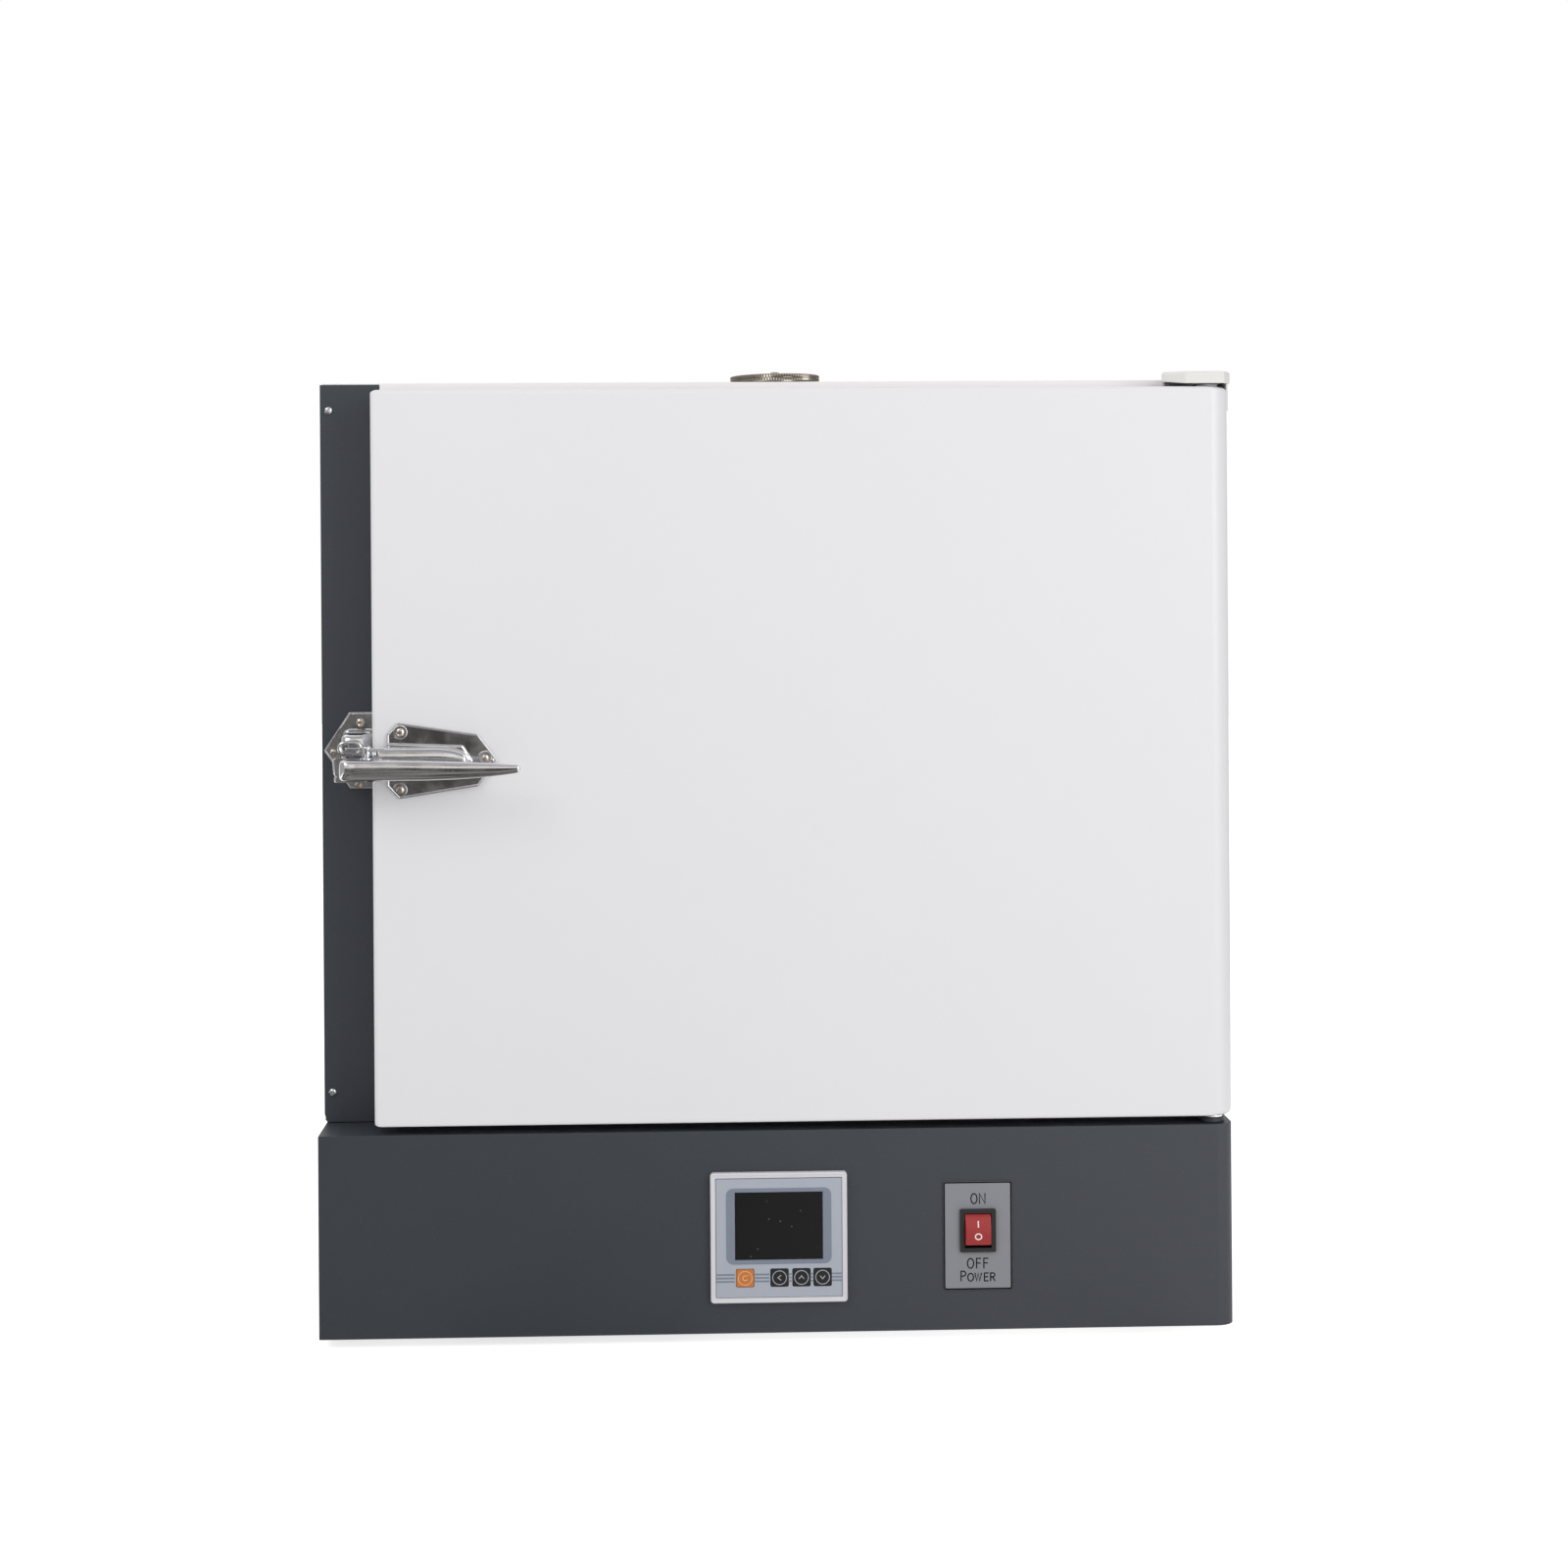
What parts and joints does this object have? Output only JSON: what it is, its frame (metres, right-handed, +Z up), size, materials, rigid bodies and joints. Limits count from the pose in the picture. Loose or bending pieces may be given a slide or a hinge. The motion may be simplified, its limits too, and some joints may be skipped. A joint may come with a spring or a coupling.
{
  "type": "high temperature test chamber",
  "caption": "Bench-top heated chamber with an insulated side-hinged door, lever latch, roof vent, wire shelves and a control panel in its base.",
  "frame": {"origin": "centre of the overall box at floor level", "axes": "+Z up, front faces -Y, the door's hinge is on +X"},
  "size_m": [0.6562, 0.5846, 0.7111],
  "materials": {
    "white_coat": "satin powder coat",
    "dark_coat": "fine textured powder coat",
    "chrome": "polished",
    "stainless": "brushed",
    "galvanised": "dull",
    "warm_plastic": "satin",
    "pale_plastic": "satin",
    "grey_film": "matte",
    "black_glass": "glossy",
    "black_plastic": "satin",
    "orange_plastic": "satin",
    "red_plastic": "glossy",
    "grey_plate": "satin",
    "rubber": "matte",
    "silicone": "matte",
    "wool": "fibrous",
    "motor_cast": "cast"
  },
  "bodies": {
    "cabinet": {"base_housing": "dark_coat", "base_floor": "galvanised", "base_rear_panel": "dark_coat", "power_inlet": "black_plastic", "foot_front_left": "rubber", "foot_front_right": "rubber", "foot_rear_left": "rubber", "foot_rear_right": "rubber", "heater_relay": "galvanised", "terminal_block": "black_plastic", "controller_bezel": "pale_plastic", "controller_overlay": "grey_film", "display_window": "black_glass", "controller_case": "black_plastic", "switch_plate": "grey_plate", "switch_body": "black_plastic", "left_side_panel": "dark_coat", "right_side_panel": "white_coat", "top_panel": "white_coat", "front_frame": "white_coat", "inner_liner": "stainless", "liner_rear": "stainless", "insulation_wrap": "wool", "insulation_rear": "wool", "rear_bulkhead": "galvanised", "rear_cover": "white_coat", "door_gasket": "silicone", "vent_collar": "stainless", "air_baffle": "stainless", "heater_left": "motor_cast", "heater_right": "motor_cast", "fan_motor": "motor_cast", "temperature_probe": "stainless", "shelf_rack_left": "stainless", "shelf_rack_right": "stainless", "hinge_bracket_upper": "galvanised", "hinge_bracket_lower": "galvanised", "hinge_pin_upper": "chrome", "hinge_pin_lower": "chrome", "hinge_washer": "pale_plastic", "hinge_cover": "warm_plastic", "latch_keeper": "chrome"},
    "door": {"door_shell": "white_coat", "door_inner_panel": "stainless", "door_insulation": "wool", "latch_base": "chrome", "latch_pin": "chrome"},
    "lever": {"latch_lever": "chrome", "latch_hook": "chrome"},
    "vent_damper": {"vent_cap": "chrome"},
    "rocker": {"power_rocker": "red_plastic"},
    "set_key": {"key_set": "orange_plastic"},
    "left_key": {"key_left": "black_plastic"},
    "up_key": {"key_up": "black_plastic"},
    "down_key": {"key_down": "black_plastic"},
    "fan": {"fan_impeller": "stainless", "fan_shaft": "chrome"},
    "lower_shelf": {"wire_shelf_lower": "stainless"},
    "upper_shelf": {"wire_shelf_upper": "stainless"}
  },
  "joints": [
    {"name": "door_swing", "type": "hinge", "parent": "cabinet", "child": "door", "pos_m": [0.312, -0.23975, 0.418], "axis": [0, 0, 1], "range_deg": [0, 110]},
    {"name": "lever_turn", "type": "hinge", "parent": "door", "child": "lever", "pos_m": [-0.2893, -0.26375, 0.412], "axis": [0, 0, -1], "range_deg": [0, 50]},
    {"name": "vent_turn", "type": "hinge", "parent": "cabinet", "child": "vent_damper", "pos_m": [0.0105, 0.03925, 0.705], "axis": [0, 0, 1], "range_deg": [0, 45]},
    {"name": "rocker_tip", "type": "hinge", "parent": "cabinet", "child": "rocker", "pos_m": [0.1409, -0.25075, 0.0782], "axis": [1, 0, 0], "range_deg": [0, 16]},
    {"name": "set_press", "type": "slide", "parent": "cabinet", "child": "set_key", "axis": [0, 1, 0], "range_m": [0, 0.0005], "stiffness_N_per_m": 600},
    {"name": "left_press", "type": "slide", "parent": "cabinet", "child": "left_key", "axis": [0, 1, 0], "range_m": [0, 0.0005], "stiffness_N_per_m": 600},
    {"name": "up_press", "type": "slide", "parent": "cabinet", "child": "up_key", "axis": [0, 1, 0], "range_m": [0, 0.0005], "stiffness_N_per_m": 600},
    {"name": "down_press", "type": "slide", "parent": "cabinet", "child": "down_key", "axis": [0, 1, 0], "range_m": [0, 0.0005], "stiffness_N_per_m": 600},
    {"name": "fan_spin", "type": "hinge", "parent": "cabinet", "child": "fan", "pos_m": [-0.0005, 0.12625, 0.419], "axis": [0, 1, 0], "continuous": true},
    {"name": "lower_shelf_slide", "type": "slide", "parent": "cabinet", "child": "lower_shelf", "axis": [0, -1, 0], "range_m": [0, 0.022]},
    {"name": "upper_shelf_slide", "type": "slide", "parent": "cabinet", "child": "upper_shelf", "axis": [0, -1, 0], "range_m": [0, 0.022]}
  ]
}
